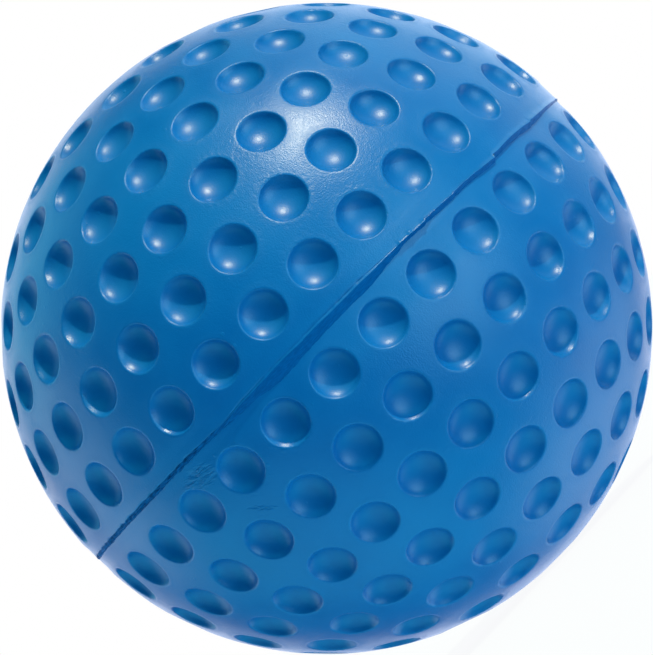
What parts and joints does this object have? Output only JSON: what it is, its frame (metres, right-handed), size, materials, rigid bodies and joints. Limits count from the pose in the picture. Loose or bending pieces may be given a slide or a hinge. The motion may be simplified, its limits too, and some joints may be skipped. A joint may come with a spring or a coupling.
{
  "type": "dimpled practice ball",
  "caption": "Dimpled practice ball of moulded blue half covers bonded along a parting seam over a firm core, with rows of round dimples and a slim bead on the seam.",
  "frame": {"origin": "centre of the ball", "axes": "+Z is the moulding's pole axis, square to the seam plane; -Y is the front that faces the picture's camera, and +X is to its right"},
  "size_m": [0.0722, 0.0722, 0.0718],
  "materials": {
    "cover": "semi-gloss moulded blue polyurethane",
    "bead": "trimmed edge of the same blue polyurethane",
    "core": "matt ground cork bound in rubber"
  },
  "bodies": {
    "root": {"upper_cover": "cover", "lower_cover": "cover", "seam_bead": "bead", "core": "core"}
  },
  "joints": []
}
